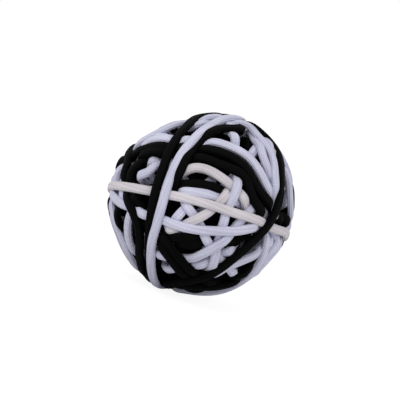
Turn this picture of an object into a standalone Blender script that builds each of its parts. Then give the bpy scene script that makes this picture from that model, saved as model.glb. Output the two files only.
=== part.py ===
"""Rubber band ball, about 64 mm across.

Closed elastic bands wound round a core. Every band lies in one plane, pressed flat by its neighbours.
The outermost band runs at full size, and each band after it dips under all those outside it.
The core is the wad of first bands, which fills what room the others leave and swells between them.
The unit is the metre, +Z is up, and the side of the ball that the photograph shows faces -Y,
until the ball is turned a little to stand.
"""
import math

import bmesh
import bpy
import numpy as np
from mathutils import Matrix, Vector

# Driving dimensions
MM = 0.001
BALL_RADIUS = 32.0 * MM
BAND_WIDTH = 3.0 * MM
BAND_THICKNESS = 1.2 * MM
BAND_GAP = 0.3 * MM

# Depth of the core's surface below the ball's, where no band presses on it
CORE_DEPTH = 3.5 * MM

# Corners of each band, directions looked in along each of its sides, and rounds of easing
BAND_CORNERS = 28
LOOKS_PER_SIDE = 10
EASING_ROUNDS = 400
EASING_LIMIT = 0.0001

# Fineness of the core's facets, directions looked in along a facet's edge, rounds of easing,
# and spare room under the bands
CORE_SUBDIVISIONS = 4
LOOKS_PER_EDGE = 6
CORE_ROUNDS = 60
CORE_SPARE = 0.1 * MM

# How far the ball may be turned from the photograph's upright to find a face to stand on
STANDING_TURN_LIMIT = math.radians(25)

# Colours, linear RGB
COLOURS = {
    "black": (0.012, 0.012, 0.013),
    "white": (0.66, 0.66, 0.80),
    "cream": (0.76, 0.72, 0.68),
    "core": (0.010, 0.010, 0.010),
}

# The bands from the outermost inwards.
# Each is read off the ball's face at two points, right and up from the ball's centre.
# The last number is how far the band's plane misses the centre: above zero, the band bows
# to the right of the way from the first point to the second. All are shares of the ball's radius.
BANDS = [
    ("white", (0.0, 0.81), (-0.54, -0.39), -0.07),
    ("black", (0.77, 0.64), (0.2, -0.75), -0.1),
    ("black", (-0.1, 0.94), (-0.56, -0.2), -0.03),
    ("cream", (-0.85, 0.2), (0.46, -0.12), -0.1),
    ("black", (-0.77, -0.05), (-0.7, -0.56), -0.2),
    ("white", (-0.26, -0.24), (0.59, -0.26), 0.1),
    ("white", (-0.97, -0.25), (0.39, -0.95), 0.03),
    ("white", (0.26, 0.96), (0.83, 0.46), 0.0),
    ("black", (-0.2, 0.44), (0.13, 0.82), 0.07),
    ("black", (0.63, 0.17), (0.89, -0.15), 0.07),
    ("white", (0.33, 0.66), (0.81, 0.07), -0.36),
    ("black", (-0.46, 0.65), (-0.95, 0.34), 0.0),
    ("white", (0.67, 0.61), (0.8, 0.3), 0.0),
    ("black", (-0.67, -0.7), (-0.3, -0.9), 0.0),
    ("black", (-0.36, -0.43), (0.07, -0.85), 0.0),
    ("black", (-0.48, -0.41), (-0.1, -0.87), 0.0),
    ("black", (0.51, -0.78), (0.07, -0.92), 0.0),
    ("white", (0.81, -0.46), (0.5, -0.76), 0.0),
    ("white", (0.67, -0.55), (0.4, -0.68), 0.0),
    ("white", (-0.59, 0.7), (-0.34, 0.73), -0.2),
    ("black", (0.13, 0.48), (0.55, 0.16), -0.26),
    ("white", (0.73, 0.3), (0.13, -0.5), -0.13),
    ("black", (-0.74, 0.3), (-0.43, 0.56), -0.39),
    ("white", (0.37, 0.75), (0.16, -0.59), 0.0),
    ("cream", (-0.18, 0.38), (0.49, 0.08), -0.39),
    ("cream", (0.28, 0.1), (-0.2, -0.25), -0.33),
    ("black", (-0.2, 0.23), (0.16, 0.19), -0.2),
    ("white", (-0.13, 0.14), (0.13, 0.1), -0.2),
    ("white", (-0.22, 0.16), (0.1, -0.47), 0.0),
]


def face_direction(reading):
    """The direction from the ball's centre to the point of its face that is read there."""
    right, up = reading
    towards_viewer = math.sqrt(max(1.0 - right**2 - up**2, 0.0))
    direction = np.array([right, -towards_viewer, up])
    return direction / np.linalg.norm(direction)


def band_plane(first, second, miss):
    """Unit normal of the plane through both readings that misses the centre by that share."""
    first, second = face_direction(first), face_direction(second)
    middle = first + second
    across = np.cross(first, second)
    across /= np.linalg.norm(across)
    lean = 2.0 * miss / np.linalg.norm(middle)
    return lean * middle / np.linalg.norm(middle) + math.sqrt(1.0 - lean**2) * across


def plane_axes(normal):
    """Two unit axes that lie in the plane."""
    spare = np.array([0.0, 1.0, 0.0]) if abs(normal[1]) < 0.9 else np.array([1.0, 0.0, 0.0])
    first = np.cross(normal, spare)
    first /= np.linalg.norm(first)
    return first, np.cross(normal, first)


def nearest_entry(start, rays, lines, reach):
    """For each ray from the start, how far it goes before it comes within reach of any line."""
    origins = lines[:, 0]
    along = lines[:, 1] - origins
    lengths = np.linalg.norm(along, axis=1)
    along = along / lengths[:, None]
    offset = start - origins
    offset_along = np.einsum("ij,ij->i", offset, along)
    offset_across = offset - offset_along[:, None] * along
    ray_along = rays @ along.T

    # where the ray enters the round wall about the line
    a = np.maximum(1.0 - ray_along**2, 1e-9)
    b = rays @ offset_across.T
    c = np.einsum("ij,ij->i", offset_across, offset_across) - reach**2
    inside = b**2 - a * c
    distance = (-b - np.sqrt(np.maximum(inside, 0.0))) / a
    station = offset_along + distance * ray_along
    meets = (inside > 0.0) & (distance > 0.0) & (station >= 0.0) & (station <= lengths)
    walls = np.where(meets, distance, np.inf).min(axis=1)

    # where it enters the ball about the line's first end
    b = rays @ offset.T
    c = np.einsum("ij,ij->i", offset, offset) - reach**2
    inside = b**2 - c
    distance = -b - np.sqrt(np.maximum(inside, 0.0))
    ends = np.where((inside > 0.0) & (distance > 0.0), distance, np.inf).min(axis=1)
    return np.minimum(walls, ends)


def edge_offsets():
    """Places across a band's width at which its rounded section is followed."""
    side = (BAND_WIDTH - BAND_THICKNESS) / 2.0
    return (-side, 0.0, side)


def band_corners(axes, normal, miss, lines):
    """Corners, in the plane's own axes, of the largest polygon that stays under every band outside it."""
    first, second = axes
    looks = BAND_CORNERS * LOOKS_PER_SIDE
    angles = np.arange(looks) * 2.0 * math.pi / looks
    rays = np.cos(angles)[:, None] * first + np.sin(angles)[:, None] * second
    limit = np.full(looks, np.inf)
    if len(lines):
        for shift in edge_offsets():
            start = normal * (miss + shift)
            entry = nearest_entry(start, rays, lines, BAND_THICKNESS + BAND_GAP)
            limit = np.minimum(limit, entry)

    # One over the radius is a sum of the two corners' values along a straight side.
    # So each look that a side blocks is cleared by raising those two values a little.
    step = 2.0 * math.pi / BAND_CORNERS
    into_side = np.arange(LOOKS_PER_SIDE) * step / LOOKS_PER_SIDE
    share_here = np.sin(step - into_side) / math.sin(step)
    share_next = np.sin(into_side) / math.sin(step)
    wanted = (1.0 / limit).reshape(BAND_CORNERS, LOOKS_PER_SIDE)
    outermost = BALL_RADIUS - BAND_THICKNESS / 2.0
    values = np.full(BAND_CORNERS, 1.0 / math.sqrt(outermost**2 - miss**2))
    for _ in range(EASING_ROUNDS):
        worst = 0.0
        for i in range(BAND_CORNERS):
            j = (i + 1) % BAND_CORNERS
            short = wanted[i] - share_here * values[i] - share_next * values[j]
            k = short.argmax()
            if short[k] > 0.0:
                worst = max(worst, short[k] / values[i])
                change = short[k] / (share_here[k]**2 + share_next[k]**2)
                values[i] += change * share_here[k]
                values[j] += change * share_next[k]
        if worst < EASING_LIMIT:
            break
    turns = np.arange(BAND_CORNERS) * step
    return np.cos(turns) / values, np.sin(turns) / values


def band_lines(corners, normal):
    """The lines that stand for a band when what lies under it is fitted."""
    ends = np.stack([corners, np.roll(corners, -1, axis=0)], axis=1)
    return np.concatenate([ends + normal * shift for shift in edge_offsets()])


def make_material(name):
    """A plain material in one of the named colours."""
    material = bpy.data.materials.new(name)
    material.use_nodes = True
    shader = material.node_tree.nodes["Principled BSDF"]
    shader.inputs["Base Color"].default_value = (*COLOURS[name], 1.0)
    shader.inputs["Roughness"].default_value = 0.75
    material.diffuse_color = (*COLOURS[name], 1.0)
    return material


def closed_curve(name, points):
    """A closed curve object with straight sides between the points of its own XY plane."""
    curve = bpy.data.curves.new(name, "CURVE")
    curve.dimensions = "3D"
    curve.twist_mode = "Z_UP"
    spline = curve.splines.new("POLY")
    spline.points.add(len(points) - 1)
    for point, (x, y) in zip(spline.points, points):
        point.co = (x, y, 0.0, 1.0)
    spline.use_cyclic_u = True
    return bpy.data.objects.new(name, curve)


def make_section():
    """The flattened section that all the bands share, a guide that is not part of the ball."""
    flat = (BAND_WIDTH - BAND_THICKNESS) / 2.0
    points = [
        (BAND_THICKNESS / 2.0, flat),
        (BAND_THICKNESS / 2.0, -flat),
        (0.0, -BAND_WIDTH / 2.0),
        (-BAND_THICKNESS / 2.0, -flat),
        (-BAND_THICKNESS / 2.0, flat),
        (0.0, BAND_WIDTH / 2.0),
    ]
    section = closed_curve("band_section", points)
    section.hide_render = True
    section.display_type = "WIRE"
    return section


def make_band(name, corners, axes, normal, miss, section, material):
    """A closed band with its corners in its own XY plane, which is placed off the ball's centre."""
    band = closed_curve(name, corners)
    band.data.bevel_mode = "OBJECT"
    band.data.bevel_object = section
    band.data.materials.append(material)
    place = Matrix.Identity(4)
    for column, axis in enumerate((*axes, normal)):
        for row in range(3):
            place[row][column] = axis[row]
    place.translation = Vector(normal * miss)
    band.matrix_world = place
    return band


def core_looks(facets):
    """Directions looked in over each facet, and the share that each of its corners has in them."""
    steps = [
        (i, j, LOOKS_PER_EDGE - i - j)
        for i in range(LOOKS_PER_EDGE + 1)
        for j in range(LOOKS_PER_EDGE + 1 - i)
    ]
    shares = np.array(steps) / LOOKS_PER_EDGE
    looks = np.einsum("sk,fkd->fsd", shares, facets)
    lengths = np.linalg.norm(looks, axis=2)
    return looks / lengths[:, :, None], shares[None] / lengths[:, :, None]


def make_core(bands, material):
    """The wad of first bands: a ball that is pressed in wherever a band runs over it."""
    shape = bmesh.new()
    bmesh.ops.create_icosphere(shape, subdivisions=CORE_SUBDIVISIONS, radius=1.0)
    directions = np.array([vert.co for vert in shape.verts])
    facets = np.array([[vert.index for vert in face.verts] for face in shape.faces])
    looks, shares = core_looks(directions[facets])
    reach = BAND_THICKNESS / 2.0 + BAND_GAP + CORE_SPARE
    rays = looks.reshape(-1, 3)
    limit = np.full(len(rays), np.inf)
    for normal, lines in bands:
        # only the rays that pass close to the band's plane can meet the band
        across = np.abs(lines @ normal).max() + reach
        lowest = np.linalg.norm(lines.mean(axis=1), axis=1).min() - reach
        near = np.abs(rays @ normal) < across / lowest
        limit[near] = np.minimum(limit[near], nearest_entry(np.zeros(3), rays[near], lines, reach))
    wanted = (1.0 / limit).reshape(looks.shape[:2])

    # One over the radius is a sum of the three corners' values all over a flat facet.
    # So each facet raises its corners' values until it clears every look.
    values = np.full(len(directions), 1.0 / (BALL_RADIUS - CORE_DEPTH))
    for _ in range(CORE_ROUNDS):
        short = wanted - np.einsum("fsk,fk->fs", shares, values[facets])
        worst = short.argmax(axis=1)
        picked = np.arange(len(facets))
        change = np.maximum(short[picked, worst], 0.0)
        share = shares[picked, worst]
        raised = values[facets] + change[:, None] * share / (share**2).sum(axis=1)[:, None]
        np.maximum.at(values, facets, raised)
    for vert, value in zip(shape.verts, values):
        vert.co /= value
    mesh = bpy.data.meshes.new("core")
    shape.to_mesh(mesh)
    shape.free()
    mesh.materials.append(material)
    return bpy.data.objects.new("core", mesh)


def shown_points(things):
    """All corners of the objects as they show, in world space."""
    depsgraph = bpy.context.evaluated_depsgraph_get()
    points = []
    for thing in things:
        shown = thing.evaluated_get(depsgraph)
        points += [shown.matrix_world @ vert.co for vert in shown.to_mesh().vertices]
        shown.to_mesh_clear()
    return points


def standing_turn(points):
    """The turn that brings the broadest face to stand on, near the underside, to the bottom."""
    down, viewer = Vector((0.0, 0.0, -1.0)), Vector((0.0, -1.0, 0.0))
    hull = bmesh.new()
    for point in points:
        hull.verts.new(point)
    bmesh.ops.convex_hull(hull, input=hull.verts)
    best_margin, best_turn = 0.0, Matrix.Identity(3)
    for face in hull.faces:
        face.normal_update()
        normal = face.normal.copy()
        corners = [vert.co for vert in face.verts]
        if normal.dot(corners[0]) < 0.0:
            normal.negate()
        turn = normal.rotation_difference(down).to_matrix()
        if normal.angle(down) > STANDING_TURN_LIMIT or (turn @ viewer).z < 0.0:
            continue
        foot = normal * normal.dot(corners[0])
        margin = min(
            (corners[(i + 1) % 3] - corners[i]).cross(foot - corners[i]).dot(face.normal)
            / (corners[(i + 1) % 3] - corners[i]).length
            for i in range(3)
        )
        if margin > best_margin:
            best_margin, best_turn = margin, turn
    hull.free()
    return best_turn


def main():
    for thing in list(bpy.data.objects):
        bpy.data.objects.remove(thing)
    collection = bpy.data.collections.new("rubber_band_ball")
    guides = bpy.data.collections.new("guides")
    bpy.context.scene.collection.children.link(collection)
    bpy.context.scene.collection.children.link(guides)
    materials = {name: make_material(name) for name in COLOURS}
    section = make_section()
    guides.objects.link(section)

    # fit every band under the ones outside it, then the core under them all
    laid, pieces = [], []
    for number, (colour, first, second, miss) in enumerate(BANDS, start=1):
        normal = band_plane(first, second, miss)
        axes = plane_axes(normal)
        miss *= BALL_RADIUS - BAND_THICKNESS / 2.0
        lines = np.concatenate([np.zeros((0, 2, 3))] + [band for _, band in laid])
        right, up = band_corners(axes, normal, miss, lines)
        corners = normal * miss + right[:, None] * axes[0] + up[:, None] * axes[1]
        laid.append((normal, band_lines(corners, normal)))
        name = f"{colour}_band_{number:02d}"
        pieces.append(
            make_band(name, list(zip(right, up)), axes, normal, miss, section, materials[colour])
        )
    pieces.append(make_core(laid, materials["core"]))

    # turn the ball to stand on a face, and set it on the ground over the origin
    ball = bpy.data.objects.new("ball", None)
    collection.objects.link(ball)
    for piece in pieces:
        collection.objects.link(piece)
        piece.parent = ball
    bpy.context.view_layer.update()
    points = shown_points(pieces)
    turn = standing_turn(points)
    turned = np.array([turn @ point for point in points])
    low, high = turned.min(axis=0), turned.max(axis=0)
    ball.matrix_world = turn.to_4x4()
    ball.location = (-(low[0] + high[0]) / 2.0, -(low[1] + high[1]) / 2.0, -low[2])
    bpy.context.view_layer.update()


main()
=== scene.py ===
"""Looks of the rubber band ball: soft elastic strands that dip under each other round a dark heart.

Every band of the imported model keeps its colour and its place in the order, and gets a full, round-edged
strand in place of its flat solid. Where the photograph shows that a strand isn't flat, it strays from its
band's plane. The tangle that shows between the bands is wound the same way, deeper in.
"""
import math

import bmesh
import bpy
import numpy as np
from mathutils import Matrix, Vector


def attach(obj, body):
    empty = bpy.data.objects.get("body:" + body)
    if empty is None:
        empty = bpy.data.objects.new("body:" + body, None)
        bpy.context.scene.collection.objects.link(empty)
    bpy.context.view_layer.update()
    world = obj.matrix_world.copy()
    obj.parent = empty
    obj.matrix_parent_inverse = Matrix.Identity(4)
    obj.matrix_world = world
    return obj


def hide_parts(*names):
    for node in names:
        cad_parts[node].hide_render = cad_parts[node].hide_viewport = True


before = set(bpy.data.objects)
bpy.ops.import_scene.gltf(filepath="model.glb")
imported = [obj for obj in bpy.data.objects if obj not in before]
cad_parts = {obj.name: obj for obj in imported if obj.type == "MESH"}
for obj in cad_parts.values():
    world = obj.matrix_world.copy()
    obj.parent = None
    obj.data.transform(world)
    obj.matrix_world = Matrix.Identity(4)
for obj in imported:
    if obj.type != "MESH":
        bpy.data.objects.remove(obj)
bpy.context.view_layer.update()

# All sizes are in metres, apart from those that say otherwise
MM = 0.001

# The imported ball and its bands
BALL_RADIUS = 32.0 * MM
BAND_THICKNESS = 1.2 * MM
BAND_REACH = BALL_RADIUS - BAND_THICKNESS / 2.0

# A strand's section, which would be an ellipse at a squareness of 2, and how finely it is made
STRAND_WIDTH = 3.1 * MM
STRAND_THICKNESS = 2.1 * MM
SQUARENESS = 3.0
SAMPLES = 240
SIDES = 14

# How far the outermost strands' middles lie from the ball's centre, and how far a strand's middle keeps
# from the middles of the strands over it
TOP_RADIUS = 30.7 * MM
CROSSING_DEPTH = 1.95 * MM

# A strand's rise and fall, and its way off its plane, are smoothed over about that many samples, with
# weights that reach out to EASING_REACH times as many
SOFTENING = 1.9
STRAY_SOFTENING = 3.0
EASING_REACH = 5

# Past its trace's ends a strand goes back to its plane within this angle, in radians, and an inner one sinks
RETURN_ANGLE = 0.7
INNER_SINK = 3.5 * MM

# Rounds in the search for how deep a trace's points lie
DEPTH_ROUNDS = 6

# A segment of a strand counts as this much longer at both ends, so that no ray slips between two
SEGMENT_SPARE = 0.3 * MM

# The decimals that tell two vertices apart, the least square to divide by, the least fall of a ray towards
# the floor, and how much of a normal may lie along Y before X is crossed with it instead
VERTEX_DECIMALS = 7
LEAST_SQUARE = 1e-9
LEAST_FALL = 0.1
MOST_ALONG_Y = 0.9

# How far out the photographed ball's outline lies at every 20 degrees, in mm, from the right over the top.
# The ball is lumpy like that round its rim, and even towards the middle of its face and its back.
OUTLINE = [
    32.4, 33.1, 33.3, 33.6, 32.3, 29.9, 30.1, 31.3, 32.8,
    32.3, 31.2, 31.8, 32.8, 31.3, 31.9, 31.6, 31.3, 32.5,
]
LUMP_POWER = 3

# The photograph's frame: its width, the ball's centre and its radius, in pixels
PHOTO_SIZE = 400
PHOTO_CENTRE = (200.6, 204.0)
PHOTO_RADIUS = 93.0

# The camera. Its sensor's width is in millimetres.
CAMERA_DISTANCE = 0.5
SENSOR_WIDTH = 36.0
CLIP_START = 0.01

# Two bands tell how the ball is turned to stand: two points of each on the photographed face, right and up
# of the centre, and how far its plane misses the centre, all as shares of the radius
FIRST_KEY = ("white_band_01", (0.0, 0.81), (-0.54, -0.39), -0.07)
SECOND_KEY = ("cream_band_04", (-0.85, 0.2), (0.46, -0.12), -0.1)

# Covered elastic, whose colours are linear RGB: a strand's own, and the shade in its grooves
COLOURS = {
    "white": ((0.70, 0.70, 0.86), (0.34, 0.34, 0.46)),
    "cream": ((0.74, 0.70, 0.74), (0.40, 0.36, 0.39)),
    "black": ((0.0018, 0.0018, 0.0020), (0.0006, 0.0006, 0.0006)),
}
SPECULAR = 0.04
ELASTIC_ROUGHNESS = 0.72
PALE_SHEEN = 0.1

# Ribs round a strand, and twists and cross crimps along its whole length
RIBS = 9
TWISTS = 12
CRIMPS = 260
CRIMP_HEIGHT = 0.5
DEEPEST_GROOVE = -1.5
GROOVE_SHADE = 0.35

# The strands' fuzz, its bumps, and the soiling that clouds the colour
FUZZ_SCALE = 1400.0
FUZZ_DETAIL = 3.0
BUMP_STRENGTH = 0.6
BUMP_HEIGHT = 0.10 * MM
CLOUD_SCALE = 90.0
CLOUD_DETAIL = 4.0
CLOUD_RANGE = (0.35, 0.75)
CLOUD_SHADE = 0.35

# The heart: the tangle of dark bands deep inside, swollen by crossing waves
HEART_RADIUS = 20.0 * MM
HEART_SWELL = 0.3 * MM
HEART_WAVES = ((38.0, 0.0, 9.0), (-7.0, 41.0, 0.0))
HEART_SUBDIVISIONS = 5
HEART_COLOURS = ((0.002, 0.002, 0.002), (0.005, 0.005, 0.005))
HEART_ROUGHNESS = 0.85
HEART_SCALE = 200.0
HEART_DETAIL = 2.0

# The floor, and how much of it the camera sees as plain light, so that it looks white
WHITE = (1.0, 1.0, 1.0, 1.0)
FLOOR_SIZE = 6.0
FLOOR_HEIGHT = -0.2 * MM
FLOOR_COLOUR = (0.80, 0.80, 0.80, 1.0)
FLOOR_ROUGHNESS = 0.9
FLOOR_SPECULAR = 0.1
FLOOR_LIGHT = 1.2
FLOOR_LIGHT_SHARE = 0.75

# Light: the world's level, and each lamp's place from the ball in the photograph's axes, size and power
WORLD_LIGHT = 0.62
LAMPS = [
    ((-0.5, -0.8, 0.9), 0.8, 5.0),
    ((0.9, -0.7, 0.3), 0.9, 2.5),
]

# Marks a trace's point that lies on the far side of the ball, just past its rim
BEHIND = -1

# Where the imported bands' strands run: mm right and mm up of the ball's centre as the camera sees them.
# Some run on unseen, beneath a strand that is laid before them.
TRACES = {
    "white_band_01": [
        (14, 29.9), (10, 29.7), (4, 27.3), (0, 24.8), (-3, 21.5), (-6, 18.3), (-8.3, 14), (-10.9, 8),
        (-13.1, 0), (-15, -7), (-16.6, -12), (-17.1, -18), (-17, -22), (-16.3, -25.5),
    ],
    "black_band_02": [
        (6, 29.8, BEHIND), (10, 29.9, BEHIND), (13.5, 29.5), (16, 28.2), (18.3, 26.8), (20.6, 24.8),
        (23.2, 22.8), (25.3, 20.2), (26.9, 17.1), (27.6, 13.5), (27.5, 10), (27.6, 5), (26.5, -1),
        (23.5, -6.8), (18, -12.7), (14, -16.3), (10, -19.6), (6, -22.8), (2, -25), (-2, -26), (-6, -26.8),
        (-10, -27.3), (-13.5, -27.8), (-16, -27.7), (-17.5, -25, BEHIND),
    ],
    "black_band_03": [
        (7, 30.9), (3, 30.8), (0, 30.3), (-3, 28.6), (-5.5, 26), (-8, 23), (-10, 20), (-12.3, 14),
        (-13.4, 10.5), (-15.2, 6), (-16, 2), (-16.9, -3), (-17.2, -6), (-17.6, -10), (-17.6, -14),
        (-17.6, -18), (-17.3, -22), (-16.6, -25.5), (-15.5, -28),
    ],
    "cream_band_04": [
        (-30, 6.4), (-26, 6), (-22, 5.4), (-18, 4.7), (-10, 3), (-6, 2.4), (-2, 1.4), (5, -0.7),
        (10, -2.5), (14, -3.7), (18, -4.9), (21.5, -6.2), (25, -8.5), (29, -9.6),
    ],
    "black_band_05": [
        (-18, 22, BEHIND), (-22.5, 19, BEHIND), (-25, 17.4), (-24.7, 15), (-25.4, 12.8), (-26.4, 10.5),
        (-26.8, 8), (-26.5, 4), (-25.5, 1.5), (-23.5, -1.5), (-22.5, -4.5), (-21.3, -7.5),
        (-20.6, -10.5), (-20.8, -14), (-21.2, -17), (-20.6, -20.5), (-18.9, -23.6), (-17, -26),
        (-15.2, -28.3),
    ],
    "white_band_06": [
        (-21, -3), (-17, -4.4), (-12, -5.8), (-8, -7.3), (-4, -8.4), (0, -8.9), (8, -9.2), (12, -9.4),
        (15, -8.8), (18, -7.9), (20, -6.9), (22.5, -7.3), (25.5, -8.6), (29, -9.7), (30, -7, BEHIND),
    ],
    "white_band_07": [
        (30.7, 0), (30.6, 5.4), (29.9, 9.7), (28.5, 13), (26.4, 16.2), (24.2, 19.2), (22.1, 21.8),
        (20, 24.2), (17.3, 26.6), (14, 28.6), (10, 29.5), (5, 29.9), (0, 29.6), (-5, 28.3), (-10, 26.8),
        (-15, 24.5), (-17.7, 23.1), (-20.2, 21.7), (-22.2, 19.9), (-24, 17.7), (-26, 15.2, BEHIND),
        (-28.5, 11, BEHIND), (-30.4, 7.5), (-30.7, 3.8), (-30.7, 0), (-29.6, -5.2), (-27.8, -10.1),
        (-25.7, -14.7), (-23.2, -19.5), (-20, -23.9), (-15.5, -27.2), (-10.5, -29.2), (-5.3, -30.2),
        (0, -30.8), (5.4, -30.4), (10.5, -28.8), (15, -26.1), (19.3, -22.9), (22.9, -19.2),
        (26.3, -15.2), (28.6, -11.5), (29.9, -8),
    ],
    "white_band_08": [
        (-1, 28), (2, 29), (8, 29.3), (12, 27.8), (16, 26), (18.2, 24.7), (20.3, 22.9), (22.3, 20.6),
        (24, 18.2), (24.9, 16), (25.3, 13), (25.4, 9), (25.9, 4), (26.2, 0), (24.8, -4.5), (23.2, -8),
        (22.3, -11.5), (22.4, -14.5), (21.8, -17.5), (20.2, -20.2), (18.2, -22.8), (15, -26), (10.5, -28.8),
    ],
    "black_band_09": [
        (17.5, 21.3), (16, 22.9), (13.5, 25), (10, 26.6), (7, 26.3), (4, 25), (1, 23.3), (-1.5, 21),
        (-4, 17.3), (-6, 13.5), (-8, 9),
    ],
    "black_band_10": [
        (-30.3, 9.3), (-29.4, 12), (-27, 14.4), (-25, 16.2), (-22.5, 17.8), (-19.5, 18.9), (-16, 19.8),
        (-11, 19.8), (-6, 19.6), (-2, 19.4), (2, 18.8), (6, 18.2), (9.5, 16.9), (13, 15), (16, 12.3),
        (17.7, 9.4), (18.5, 7), (20.3, 4.3), (22.9, 1), (25, -1.5), (27, -4.5), (28, -6.5),
    ],
    "white_band_11": [
        (-20, 19.7), (-18.5, 21.3), (-16, 22.3), (-13, 22.4), (-10, 22.3), (-6, 22.4), (-2, 22.3),
        (3, 21.6), (6, 21.1), (10, 19.8), (14, 17.9), (17, 15.8), (19.2, 13), (21, 9.9), (22.3, 6.9),
        (23.5, 4), (24.6, 1.5), (25.2, -3), (25.4, -8), (25, -12), (23.8, -15.4), (21, -18.7),
        (18.7, -21.6), (16, -24.8), (13, -27.2), (10.5, -28.8), (5.4, -30.4), (0, -30.8), (-5.3, -30.2),
    ],
    "black_band_12": [
        (-28.5, 9.5), (-27.5, 12.5), (-24.5, 15), (-21, 16.7), (-17, 18), (-13, 18.4), (-8, 18.4),
        (-3, 18), (1, 17.6), (4, 17.3), (8, 16.4), (12, 15.2), (15, 12.7), (17, 9.5), (18, 7),
        (20, 4), (22, 1.5),
    ],
    "white_band_13": [
        (12, 27.4), (16, 25.6), (18.8, 23.6), (20.3, 21.5), (20.5, 19), (21.5, 15.5), (23, 12), (24.3, 9),
        (25.2, 4), (25.6, -2), (25.5, -7), (25.2, -11), (23.8, -15), (21, -18.3), (18.5, -21.5),
        (15.5, -25.2), (10.5, -28.8),
    ],
    "black_band_14": [
        (-21.3, -18.5), (-20.3, -21.3), (-18.8, -24), (-16.5, -26.6), (-13, -27), (-9, -27.4), (-5, -27.7),
    ],
    "black_band_15": [
        (-13, 19.3), (-17.6, 18.6), (-22, 16.2), (-24, 12.2), (-24.2, 7), (-22.8, 2), (-19, -4),
        (-14.5, -9), (-11.5, -12.8), (-8.6, -17), (-5.6, -20.5), (-2.6, -23.5), (1.5, -26),
    ],
    "black_band_16": [
        (-11, 19.4), (-15.5, 18.8), (-20.8, 17), (-23.3, 13.6), (-24, 8.5), (-22.3, 3), (-19.5, -3),
        (-17, -8), (-14.5, -12.5), (-12.7, -15.5), (-9.7, -19.5), (-6.7, -23.5), (-2.7, -26.5),
        (2, -27.5), (6, -27.4),
    ],
    "black_band_17": [
        (15.5, -23.8), (13, -25), (10, -26.3), (6, -27.6), (2, -28), (-2, -27.6), (-6, -27.6), (-10, -27.5),
        (-14, -27.3), (-17.2, -25),
    ],
    "white_band_18": [
        (25, -10.8), (24.8, -14), (22.8, -17.3), (20, -19.8), (17, -22), (15.1, -23.3), (12, -25.2),
        (8, -27.2), (3, -28.4), (-2, -28.6), (-7, -28.4),
    ],
    "white_band_19": [
        (20.3, -16.8), (17.5, -18), (14.5, -19.3), (12.3, -20), (9.8, -20.4), (6, -22.6), (2, -24.7),
        (-2, -25.7), (-8, -26.8), (-12, -27.4), (-17, -25), (-20.5, -20.5), (-20.8, -14), (-20.6, -10.5),
        (-22.5, -4.5), (-25.5, 1.5), (-26.8, 8),
    ],
    "white_band_20": [
        (-18.5, 20.8), (-16, 21.8), (-13, 22.2), (-10, 22.3), (-4, 22.4), (0, 22), (6, 21), (10, 19.8),
        (14, 17.9), (17, 15.6), (19.2, 13),
    ],
    "black_band_21": [
        (-22, 15.8), (-17, 17.6), (-12, 18.2), (-7, 17.5), (-3, 15.8), (1, 15.8), (4, 14.7), (7, 13.3),
        (9.5, 12.6), (12, 11.7), (14.5, 10.8), (16.3, 8), (16.8, 5), (17.3, 2),
    ],
    "white_band_22": [
        (22.3, 9), (21.3, 6.5), (20, 3.5), (18.3, 0.5), (16.5, -3), (13.5, -6.8), (10.5, -10.5),
        (8, -12.8), (4, -15.2), (0, -17.4), (-3.8, -19.2), (-7.5, -19.6), (-11, -18.4), (-15, -16.7),
        (-19.3, -17), (-22, -18), (-24.5, -18.5),
    ],
    "black_band_23": [(-13, 17), (-16, 17.3), (-19, 16.8), (-21, 15.5), (-23, 12.5), (-24, 9), (-24, 5)],
    "white_band_24": [
        (10.5, 25), (11.3, 23), (12, 20), (12.2, 14.4), (12.4, 9.5), (13, 7), (11.7, 2.8), (10.3, 0.5),
        (8.5, -4.5), (6.3, -12), (4.9, -18), (3.2, -23),
    ],
    "cream_band_25": [
        (-28, 5.9), (-22, 5), (-18, 4.3), (-14, 5), (-11, 7.3), (-8, 9.8), (-5.5, 11.5), (-3, 12.7),
        (0, 12.7), (2.5, 12), (5, 10.5), (7.5, 8.8), (10, 7), (12, 5.5), (13.5, 4.5), (14.8, 2.3), (15.7, 0),
    ],
    "cream_band_26": [
        (25.5, 15.5), (23, 14), (20, 12), (16.5, 9.5), (13, 7.5), (9.7, 5.5), (8.6, 3), (7, 1), (4, -2),
        (1, -3.9), (-3, -5.8), (-6, -7.5), (-9, -8.7), (-13, -9), (-17, -9.8), (-20, -11.5), (-21, -14),
        (-21.2, -18), (-19.5, -22),
    ],
    "black_band_27": [(-9.5, 6.3), (-6, 7), (-2, 7), (2, 6.7), (5, 5.9), (7.3, 5.1)],
    "white_band_28": [
        (-26, 5.4), (-22, 5), (-18, 4.4), (-14, 4.1), (-9, 4.4), (-4, 4.4), (0, 3.9), (4, 3.1),
    ],
    "white_band_29": [
        (-6.8, 5), (-5.6, 0.5), (-4.3, -1.5), (-2.8, -3.3), (-0.2, -7), (1.8, -12.3), (3.2, -14.2),
        (5.5, -17.3), (8.3, -20.5), (10.8, -23), (12.5, -25),
    ],
}

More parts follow.
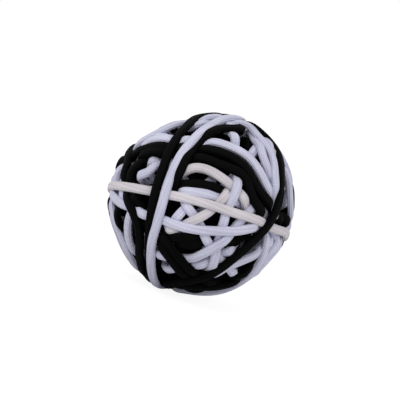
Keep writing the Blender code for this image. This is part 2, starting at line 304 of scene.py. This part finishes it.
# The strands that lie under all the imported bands, from the outermost inwards: colour, trace, and how far
# the plane misses the centre in mm. Above zero, the loop bows to the right of the way along the trace.
INNER_STRANDS = [
    ("black", [(-13, -12), (-9, -11.5), (-5, -11.4), (-1.5, -12)], -4),
    ("black", [(-9, -13), (-5, -13.2), (0, -14.3)], 0),
    ("white", [(22, 22.5), (20.2, 20.5), (18.6, 18.3), (17.3, 15.5)], 0),
    (
        "white",
        [
            (27.6, 10), (27.6, 5), (26.5, -1), (23.5, -6.8), (18.5, -9.8), (13.5, -12), (10.5, -14.5),
            (8, -16.9), (6, -18.5), (2.5, -19.8), (-1.5, -21.8),
        ],
        0,
    ),
    ("black", [(14, 25), (16.3, 22.5), (17.5, 20), (18.9, 16.8), (20.5, 14.2), (21.8, 10), (23, 5)], 0),
    ("black", [(12, 25), (14.3, 22.5), (15, 19.5), (15.5, 16)], 0),
    ("white", [(-3, 1.5), (-5.5, -1.7), (-9, -5.8), (-12, -9)], 0),
    ("white", [(-12.5, 16.5), (-13.7, 14), (-15, 12), (-17, 10.6), (-19.5, 10), (-22, 10.4)], 6),
    ("white", [(-12, 16), (-15, 15.6), (-17.5, 14.9), (-19.2, 13), (-19.8, 11.5)], 6),
    ("white", [(-20, -22), (-15.5, -23.2), (-12, -23.3), (-9, -23.4), (-5, -24)], 0),
    ("white", [(-19, -19.6), (-15.5, -20.2), (-13, -20.5), (-10.5, -21.3), (-7, -23)], 0),
    ("black", [(22.5, -8.5), (19.5, -12.3), (16.5, -15.3), (13.5, -18), (10, -20.8)], 0),
    ("white", [(30.5, 3), (29.3, 0.5), (28.7, -1.8), (27.8, -4.2)], 0),
    ("black", [(-3, 9.3), (0, 9.9), (3, 9.3)], -4),
    ("white", [(-8, 8.7), (-3.5, 9.8), (8.8, 10.8)], 6),
    ("black", [(2, 19.1), (6, 18.8), (9.5, 17.4), (13, 15.8), (17, 12.4), (18.8, 9.7)], -6),
    ("black", [(-26, -5), (-26.4, -8), (-26.2, -11), (-25.3, -13.5)], 0),
    ("black", [(-24, -0.5), (-17, -2.5)], 0),
    ("black", [(-26, 3), (-17, 1.5)], 0),
    ("white", [(-21, -3.3), (-19, -5.3), (-17.7, -6.5)], 0),
    ("black", [(-20, -14), (-19.8, -9), (-19.7, -4), (-21, 4), (-21, 12)], 0),
    (
        "white",
        [
            (-25, 13.8), (-27.3, 11.9), (-29.2, 9.3), (-30.2, 7.8), (-30, 5.5), (-29, 3.3), (-27.5, 0.3),
            (-26, -1.8), (-24.7, -3.5),
        ],
        -4,
    ),
    ("white", [(-29.5, -1), (-28.8, -5), (-28.5, -8)], 0),
    ("white", [(-23.2, -6), (-22.7, -9), (-22.6, -12)], 0),
    ("white", [(21.8, -12), (22.7, -14.5), (22.8, -17)], 0),
    ("black", [(14, 21), (26, -8)], 0),
    ("white", [(-31, 6), (6, -30.4)], 3),
    ("black", [(-14, -8), (14, 12)], 0),
    ("white", [(-5.2, -14.7), (-5.8, -17.5), (-6.2, -19)], 0),
    ("white", [(-28, 9), (26, -16)], -4),
    ("black", [(13, 22), (17, -14)], 4),
    ("black", [(15, 6), (3, -13)], 0),
    ("black", [(-24, 1), (12, -6)], 0),
]


def unit(vector):
    return vector / np.linalg.norm(vector)


def face_direction(right, up):
    """The direction to what shows there on the face towards -Y, both as shares of the radius."""
    depth = math.sqrt(max(1.0 - right**2 - up**2, 0.0))
    return unit(np.array([right, -depth, up]))


def sight_direction(right, up, side, radius):
    """The direction from the ball's centre to what the camera sees there, at that radius.

    The side is 1 for the near side of the ball and BEHIND for what passes behind its rim.
    """
    picture_distance = math.sqrt(CAMERA_DISTANCE**2 - BALL_RADIUS**2)
    right /= picture_distance
    up /= picture_distance
    spread = 1.0 + right**2 + up**2
    reach = CAMERA_DISTANCE**2 - spread * (CAMERA_DISTANCE**2 - radius**2)
    ahead = (CAMERA_DISTANCE - side * math.sqrt(max(reach, 0.0))) / spread
    return unit(np.array([ahead * right, ahead - CAMERA_DISTANCE, ahead * up]))


def plane_through(first, second, miss):
    """Normal of the plane through both directions that misses the centre by that share of the radius."""
    middle = first + second
    lean = 2.0 * miss / np.linalg.norm(middle)
    return lean * unit(middle) + math.sqrt(1.0 - lean**2) * unit(np.cross(first, second))


def node_plane(name):
    """Normal and middle of the plane that a packed band lies in."""
    points = np.array([vertex.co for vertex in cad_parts[name].data.vertices])
    points = np.unique(points.round(VERTEX_DECIMALS), axis=0)
    middle = points.mean(axis=0)
    return np.linalg.svd(points - middle)[2][2], middle


def standing():
    """How the ball is turned from the photograph's upright to stand, and where its centre is."""
    read = []
    measured = []
    for name, first, second, miss in (FIRST_KEY, SECOND_KEY):
        wanted = plane_through(face_direction(*first), face_direction(*second), miss)
        found = node_plane(name)[0]
        read.append(wanted)
        measured.append(found * math.copysign(1.0, found @ wanted))
    read.append(np.cross(*read))
    measured.append(np.cross(*measured))
    turn = np.linalg.solve(np.array(read), np.array(measured)).T
    centre = node_plane(FIRST_KEY[0])[1] - measured[0] * FIRST_KEY[3] * BAND_REACH
    return turn, centre


def entry(rays, starts, ends, reach):
    """For each ray from the centre, how far it goes before it comes within reach of any segment."""
    along = ends - starts
    lengths = np.linalg.norm(along, axis=1)
    along = along / lengths[:, None]
    offset_along = -np.einsum("ij,ij->i", starts, along)
    offset_across = -starts - offset_along[:, None] * along
    ray_along = rays @ along.T
    a = np.maximum(1.0 - ray_along**2, LEAST_SQUARE)
    b = rays @ offset_across.T
    c = np.einsum("ij,ij->i", offset_across, offset_across) - reach**2
    inside = b**2 - a * c
    distance = (-b - np.sqrt(np.maximum(inside, 0.0))) / a
    station = offset_along + distance * ray_along
    beside = (station > -SEGMENT_SPARE) & (station < lengths + SEGMENT_SPARE)
    meets = (inside > 0.0) & (distance > 0.0) & beside
    return np.where(meets, distance, np.inf).min(axis=1)


def eased(values, softening):
    """The values round a closed strand, smoothed over that many samples."""
    reach = int(EASING_REACH * softening)
    steps = np.arange(-reach, reach + 1)
    weights = np.exp(-steps**2 / (2.0 * softening**2))
    weights /= weights.sum()
    return sum(weight * np.roll(values, step) for weight, step in zip(weights, steps))


def strayed(normal, miss, directions, sink):
    """Rays round a strand's loop, through the directions of its trace, and how far it sinks along each.

    Past the ends of its trace the strand goes back to its plane, and sinks that far into the ball.
    """
    spare = np.array([0.0, 1.0, 0.0]) if abs(normal[1]) < MOST_ALONG_Y else np.array([1.0, 0.0, 0.0])
    first = unit(np.cross(normal, spare))
    second = np.cross(normal, first)

    # How far the trace strays from the plane, by the angle round it from the trace's middle
    middle = unit(directions.sum(axis=0))
    zero = math.atan2(middle @ second, middle @ first)
    angles = np.arctan2(directions @ second, directions @ first) - zero
    angles = (angles + math.pi) % (2.0 * math.pi) - math.pi
    order = angles.argsort()
    strays = (directions @ normal - miss)[order]
    angles = angles[order]
    sinks = np.zeros(len(angles))
    if angles[-1] - angles[0] < 2.0 * (math.pi - RETURN_ANGLE):
        angles = np.concatenate([[angles[0] - RETURN_ANGLE], angles, [angles[-1] + RETURN_ANGLE]])
        strays = np.concatenate([[0.0], strays, [0.0]])
        sinks = np.concatenate([[sink], sinks, [sink]])

    turns = np.arange(SAMPLES) * 2.0 * math.pi / SAMPLES - math.pi
    stray = np.interp(turns, angles, strays, period=2.0 * math.pi)
    sunk = np.interp(turns, angles, sinks, period=2.0 * math.pi)
    height = miss + eased(stray, STRAY_SOFTENING)
    around = np.cos(turns + zero)[:, None] * first + np.sin(turns + zero)[:, None] * second
    return height[:, None] * normal + np.sqrt(1.0 - height**2)[:, None] * around, sunk


class Winding:
    """The strands laid so far, from the outermost inwards, about the centre of a ball turned to stand."""

    def __init__(self, turn, centre):
        self.turn = turn
        self.centre = centre
        self.starts = np.zeros((0, 3))
        self.ends = np.zeros((0, 3))

    def top_radii(self, rays):
        """How far out the outermost strands' middles lie along each ray: uneven, and clear of the floor."""
        right, ahead, up = (rays @ self.turn).T
        station = np.degrees(np.arctan2(up, right)) % 360.0 * len(OUTLINE) / 360.0
        rim = np.interp(station, np.arange(len(OUTLINE) + 1), OUTLINE + OUTLINE[:1]) * MM
        lump = (rim - STRAND_THICKNESS / 2.0 - TOP_RADIUS) * (1.0 - ahead**2)**LUMP_POWER
        floor = (self.centre[2] - STRAND_THICKNESS / 2.0) / np.maximum(-rays[:, 2], LEAST_FALL)
        return np.minimum(TOP_RADIUS + lump, floor)

    def radii_under(self, rays):
        """How far out a strand's middle may lie along each ray, under all the strands laid so far."""
        tops = self.top_radii(rays)
        if not len(self.starts):
            return tops
        return np.minimum(entry(rays, self.starts, self.ends, CROSSING_DEPTH), tops)

    def traced(self, trace):
        """Directions of a trace's points, each at the depth where its strand lies there."""
        radii = np.full(len(trace), TOP_RADIUS)
        for _ in range(DEPTH_ROUNDS):
            points = [
                sight_direction(point[0] * MM, point[1] * MM, BEHIND if len(point) > 2 else 1, radius)
                for point, radius in zip(trace, radii)
            ]
            directions = np.array(points) @ self.turn.T
            radii = (radii + self.radii_under(directions)) / 2.0
        return directions

    def lay(self, normal, miss, trace, sink):
        """Lays a strand that dips under all those outside it. Gives its middle line, about the centre."""
        rays, sunk = strayed(normal, miss, self.traced(trace), sink)
        radii = self.radii_under(rays)
        lowest = np.minimum(radii, np.minimum(np.roll(radii, 1), np.roll(radii, -1)))
        line = rays * eased(lowest - sunk, SOFTENING)[:, None]
        self.starts = np.concatenate([self.starts, line])
        self.ends = np.concatenate([self.ends, np.roll(line, -1, axis=0)])
        return line


def squared(value):
    """The sine or cosine of a rounded square, for a section between an ellipse and a rectangle."""
    return math.copysign(abs(value)**(2.0 / SQUARENESS), value)


def strand_faces(shape, uv, line, centre):
    """Adds a closed strand along the line to the mesh, flattened towards the ball's centre."""
    tangents = np.roll(line, -1, axis=0) - np.roll(line, 1, axis=0)
    tangents /= np.linalg.norm(tangents, axis=1)[:, None]
    outward = line / np.linalg.norm(line, axis=1)[:, None]
    side = np.cross(tangents, outward)
    side /= np.linalg.norm(side, axis=1)[:, None]
    outward = np.cross(side, tangents)
    rings = []
    for point, across, out in zip(line, side, outward):
        ring = []
        for k in range(SIDES):
            angle = 2.0 * math.pi * k / SIDES
            place = (
                point
                + across * squared(math.cos(angle)) * STRAND_WIDTH / 2.0
                + out * squared(math.sin(angle)) * STRAND_THICKNESS / 2.0
            )
            ring.append(shape.verts.new(place + centre))
        rings.append(ring)
    for i, ring in enumerate(rings):
        beside = rings[(i + 1) % SAMPLES]
        for k in range(SIDES):
            j = (k + 1) % SIDES
            face = shape.faces.new((ring[k], ring[j], beside[j], beside[k]))
            face.smooth = True
            corners = ((i, k), (i, k + 1), (i + 1, k + 1), (i + 1, k))
            for loop, (row, column) in zip(face.loops, corners):
                loop[uv].uv = (row / SAMPLES, column / SIDES)


def finished_piece(name, shape, material):
    """The object that a built mesh becomes."""
    mesh = bpy.data.meshes.new(name)
    shape.to_mesh(mesh)
    shape.free()
    mesh.materials.append(material)
    piece = bpy.data.objects.new(name, mesh)
    bpy.context.scene.collection.objects.link(piece)
    return piece


def strand_piece(name, lines, centre, material):
    """One object for a strand, or for several that are alike."""
    shape = bmesh.new()
    uv = shape.loops.layers.uv.new("strand")
    for line in lines:
        strand_faces(shape, uv, line, centre)
    bmesh.ops.recalc_face_normals(shape, faces=shape.faces)
    return finished_piece(name, shape, material)


def new_material(name, roughness, specular):
    """A material and its shader."""
    material = bpy.data.materials.new(name)
    material.use_nodes = True
    shader = material.node_tree.nodes["Principled BSDF"]
    shader.inputs["Roughness"].default_value = roughness
    shader.inputs["Specular IOR Level"].default_value = specular
    return material, shader


def math_node(tree, operation, first, second=0.0):
    """A maths node whose inputs are sockets or numbers. Gives its output."""
    node = tree.nodes.new("ShaderNodeMath")
    node.operation = operation
    for socket, value in zip(node.inputs, (first, second)):
        if isinstance(value, (int, float)):
            socket.default_value = value
        else:
            tree.links.new(value, socket)
    return node.outputs[0]


def noise(tree, scale, detail):
    """Noise that is fixed to the object. Gives its output."""
    where = tree.nodes.new("ShaderNodeTexCoord")
    texture = tree.nodes.new("ShaderNodeTexNoise")
    texture.inputs["Scale"].default_value = scale
    texture.inputs["Detail"].default_value = detail
    tree.links.new(where.outputs["Object"], texture.inputs["Vector"])
    return texture.outputs["Fac"]


def share_between(tree, value, low, high, top):
    """Goes from 0 where the value is low to the top where it is high. Gives its output."""
    node = tree.nodes.new("ShaderNodeMapRange")
    node.inputs["From Min"].default_value = low
    node.inputs["From Max"].default_value = high
    node.inputs["To Min"].default_value = 0.0
    node.inputs["To Max"].default_value = top
    tree.links.new(value, node.inputs["Value"])
    return node.outputs["Result"]


def blended_colour(tree, share, first, second):
    """The first colour where the share is 0, and the second where it is 1. Gives its output."""
    node = tree.nodes.new("ShaderNodeMix")
    node.data_type = "RGBA"
    sockets = {socket.identifier: socket for socket in (*node.inputs, *node.outputs)}
    sockets["A_Color"].default_value = (*first, 1.0)
    sockets["B_Color"].default_value = (*second, 1.0)
    tree.links.new(share, sockets["Factor_Float"])
    return sockets["Result_Color"]


def elastic_material(name):
    """Covered elastic: fine ribs that run along the strand with a slight twist, and a soft, dull surface."""
    material, shader = new_material(f"{name}_elastic", ELASTIC_ROUGHNESS, SPECULAR)
    tree = material.node_tree
    shader.inputs["Sheen Weight"].default_value = 0.0 if name == "black" else PALE_SHEEN
    place = tree.nodes.new("ShaderNodeUVMap")
    place.uv_map = "strand"
    parts = tree.nodes.new("ShaderNodeSeparateXYZ")
    tree.links.new(place.outputs["UV"], parts.inputs["Vector"])
    twist = math_node(tree, "MULTIPLY", parts.outputs["X"], 2.0 * math.pi * TWISTS)
    around = math_node(tree, "MULTIPLY", parts.outputs["Y"], 2.0 * math.pi * RIBS)
    ribs = math_node(tree, "SINE", math_node(tree, "ADD", twist, around))
    crimp = math_node(tree, "MULTIPLY", parts.outputs["X"], 2.0 * math.pi * CRIMPS)
    crimps = math_node(tree, "MULTIPLY", math_node(tree, "SINE", crimp), CRIMP_HEIGHT)
    weave = math_node(tree, "ADD", ribs, crimps)

    bump = tree.nodes.new("ShaderNodeBump")
    bump.inputs["Strength"].default_value = BUMP_STRENGTH
    bump.inputs["Distance"].default_value = BUMP_HEIGHT
    height = math_node(tree, "ADD", weave, noise(tree, FUZZ_SCALE, FUZZ_DETAIL))
    tree.links.new(height, bump.inputs["Height"])
    tree.links.new(bump.outputs["Normal"], shader.inputs["Normal"])

    clouds = share_between(tree, noise(tree, CLOUD_SCALE, CLOUD_DETAIL), *CLOUD_RANGE, CLOUD_SHADE)
    grooves = share_between(tree, weave, 0.0, DEEPEST_GROOVE, GROOVE_SHADE)
    colour = blended_colour(tree, math_node(tree, "ADD", clouds, grooves), *COLOURS[name])
    tree.links.new(colour, shader.inputs["Base Color"])
    return material


def heart_material():
    """The tangle of dark bands deep inside."""
    material, shader = new_material("heart", HEART_ROUGHNESS, SPECULAR)
    tree = material.node_tree
    colour = blended_colour(tree, noise(tree, HEART_SCALE, HEART_DETAIL), *HEART_COLOURS)
    tree.links.new(colour, shader.inputs["Base Color"])
    return material


def add_heart(centre):
    """The dark, uneven ball of bands inside all the strands."""
    shape = bmesh.new()
    bmesh.ops.create_icosphere(shape, subdivisions=HEART_SUBDIVISIONS, radius=HEART_RADIUS)
    for vertex in shape.verts:
        direction = vertex.co.normalized()
        swell = sum(math.sin(sum(w * d for w, d in zip(wave, direction))) for wave in HEART_WAVES)
        vertex.co = direction * (HEART_RADIUS + HEART_SWELL * swell) + Vector(centre)
    for face in shape.faces:
        face.smooth = True
    heart = finished_piece("heart", shape, heart_material())
    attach(heart, "root")
    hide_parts("core")


def add_bands(turn, centre):
    """A strand for each packed band, then the deeper ones, each dipping under those before it."""
    materials = {name: elastic_material(name) for name in COLOURS}
    winding = Winding(turn, centre)
    names = sorted((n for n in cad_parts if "_band_" in n), key=lambda n: n[-2:])
    for name in names:
        normal, middle = node_plane(name)
        line = winding.lay(normal, normal @ (middle - centre) / BAND_REACH, TRACES[name], 0.0)
        colour = name.split("_")[0]
        piece = strand_piece(f"{name}_strand", [line], centre, materials[colour])
        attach(piece, "root")
        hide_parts(name)

    inner = {"white": [], "black": []}
    for colour, trace, miss in INNER_STRANDS:
        first, last = (
            turn @ sight_direction(right * MM, up * MM, 1, TOP_RADIUS) for right, up in (trace[0], trace[-1])
        )
        miss *= MM / TOP_RADIUS
        normal = plane_through(first, last, miss)
        inner[colour].append(winding.lay(normal, miss, trace, INNER_SINK))
    for colour, lines in inner.items():
        piece = strand_piece(f"inner_{colour}_strands", lines, centre, materials[colour])
        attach(piece, "root")


def mixed_shader(tree, share, first, second, output):
    """Leads a mix of two shaders to the output: the first where the share is 0, the second where it is 1."""
    both = tree.nodes.new("ShaderNodeMixShader")
    tree.links.new(share, both.inputs[0])
    tree.links.new(first.outputs[0], both.inputs[1])
    tree.links.new(second.outputs[0], both.inputs[2])
    tree.links.new(both.outputs[0], tree.nodes[output].inputs["Surface"])


def add_floor():
    """A pale floor that shows as white and keeps a soft shadow."""
    bpy.ops.mesh.primitive_plane_add(size=FLOOR_SIZE, location=(0.0, 0.0, FLOOR_HEIGHT))
    floor = bpy.context.object
    floor.name = "floor"
    material, plain_floor = new_material("floor", FLOOR_ROUGHNESS, FLOOR_SPECULAR)
    plain_floor.inputs["Base Color"].default_value = FLOOR_COLOUR
    tree = material.node_tree
    white = tree.nodes.new("ShaderNodeEmission")
    white.inputs["Color"].default_value = WHITE
    white.inputs["Strength"].default_value = FLOOR_LIGHT
    seen = tree.nodes.new("ShaderNodeLightPath")
    share = math_node(tree, "MULTIPLY", seen.outputs["Is Camera Ray"], FLOOR_LIGHT_SHARE)
    mixed_shader(tree, share, plain_floor, white, "Material Output")
    floor.data.materials.append(material)


def add_world():
    """Soft light from all round, on a background that shows as white, also in what is glossy or clear."""
    world = bpy.data.worlds.new("studio")
    bpy.context.scene.world = world
    world.use_nodes = True
    tree = world.node_tree
    light = tree.nodes["Background"]
    light.inputs["Color"].default_value = WHITE
    light.inputs["Strength"].default_value = WORLD_LIGHT
    white = tree.nodes.new("ShaderNodeBackground")
    white.inputs["Color"].default_value = WHITE
    white.inputs["Strength"].default_value = 1.0
    seen = tree.nodes.new("ShaderNodeLightPath")
    shown = math_node(tree, "MAXIMUM", seen.outputs["Is Camera Ray"], seen.outputs["Is Glossy Ray"])
    shown = math_node(tree, "MAXIMUM", shown, seen.outputs["Is Transmission Ray"])
    mixed_shader(tree, shown, light, white, "World Output")


def add_lamps(turn, centre):
    """Large soft lamps in front of the ball."""
    for number, (place, size, power) in enumerate(LAMPS, start=1):
        data = bpy.data.lights.new(f"lamp_{number}", "AREA")
        data.shape = "DISK"
        data.size = size
        data.energy = power
        lamp = bpy.data.objects.new(data.name, data)
        bpy.context.scene.collection.objects.link(lamp)
        where = turn @ np.array(place)
        lamp.location = centre + where
        lamp.rotation_euler = Vector(where).to_track_quat("Z", "Y").to_euler()


def add_camera(turn, centre):
    """A camera that sees the ball from the photograph's side, upright in its picture, where it is there."""
    reach = BALL_RADIUS / math.sqrt(CAMERA_DISTANCE**2 - BALL_RADIUS**2)
    half_frame = reach * (PHOTO_SIZE / 2.0) / PHOTO_RADIUS
    data = bpy.data.cameras.new("camera")
    data.sensor_width = SENSOR_WIDTH
    data.lens = SENSOR_WIDTH / 2.0 / half_frame
    data.clip_start = CLIP_START
    camera = bpy.data.objects.new("camera", data)
    bpy.context.scene.collection.objects.link(camera)
    pixel = half_frame * CAMERA_DISTANCE / (PHOTO_SIZE / 2.0)
    right, back, up = turn[:, 0], -turn[:, 1], turn[:, 2]
    place = (
        centre
        + back * CAMERA_DISTANCE
        - right * (PHOTO_CENTRE[0] - PHOTO_SIZE / 2.0) * pixel
        + up * (PHOTO_CENTRE[1] - PHOTO_SIZE / 2.0) * pixel
    )
    axes = np.eye(4)
    axes[:3] = np.column_stack((right, up, back, place))
    camera.matrix_world = Matrix(axes.tolist())
    bpy.context.scene.camera = camera


def main():
    turn, centre = standing()
    add_bands(turn, centre)
    add_heart(centre)
    add_floor()
    add_world()
    add_lamps(turn, centre)
    add_camera(turn, centre)
    bpy.context.scene.view_settings.view_transform = "Standard"


main()
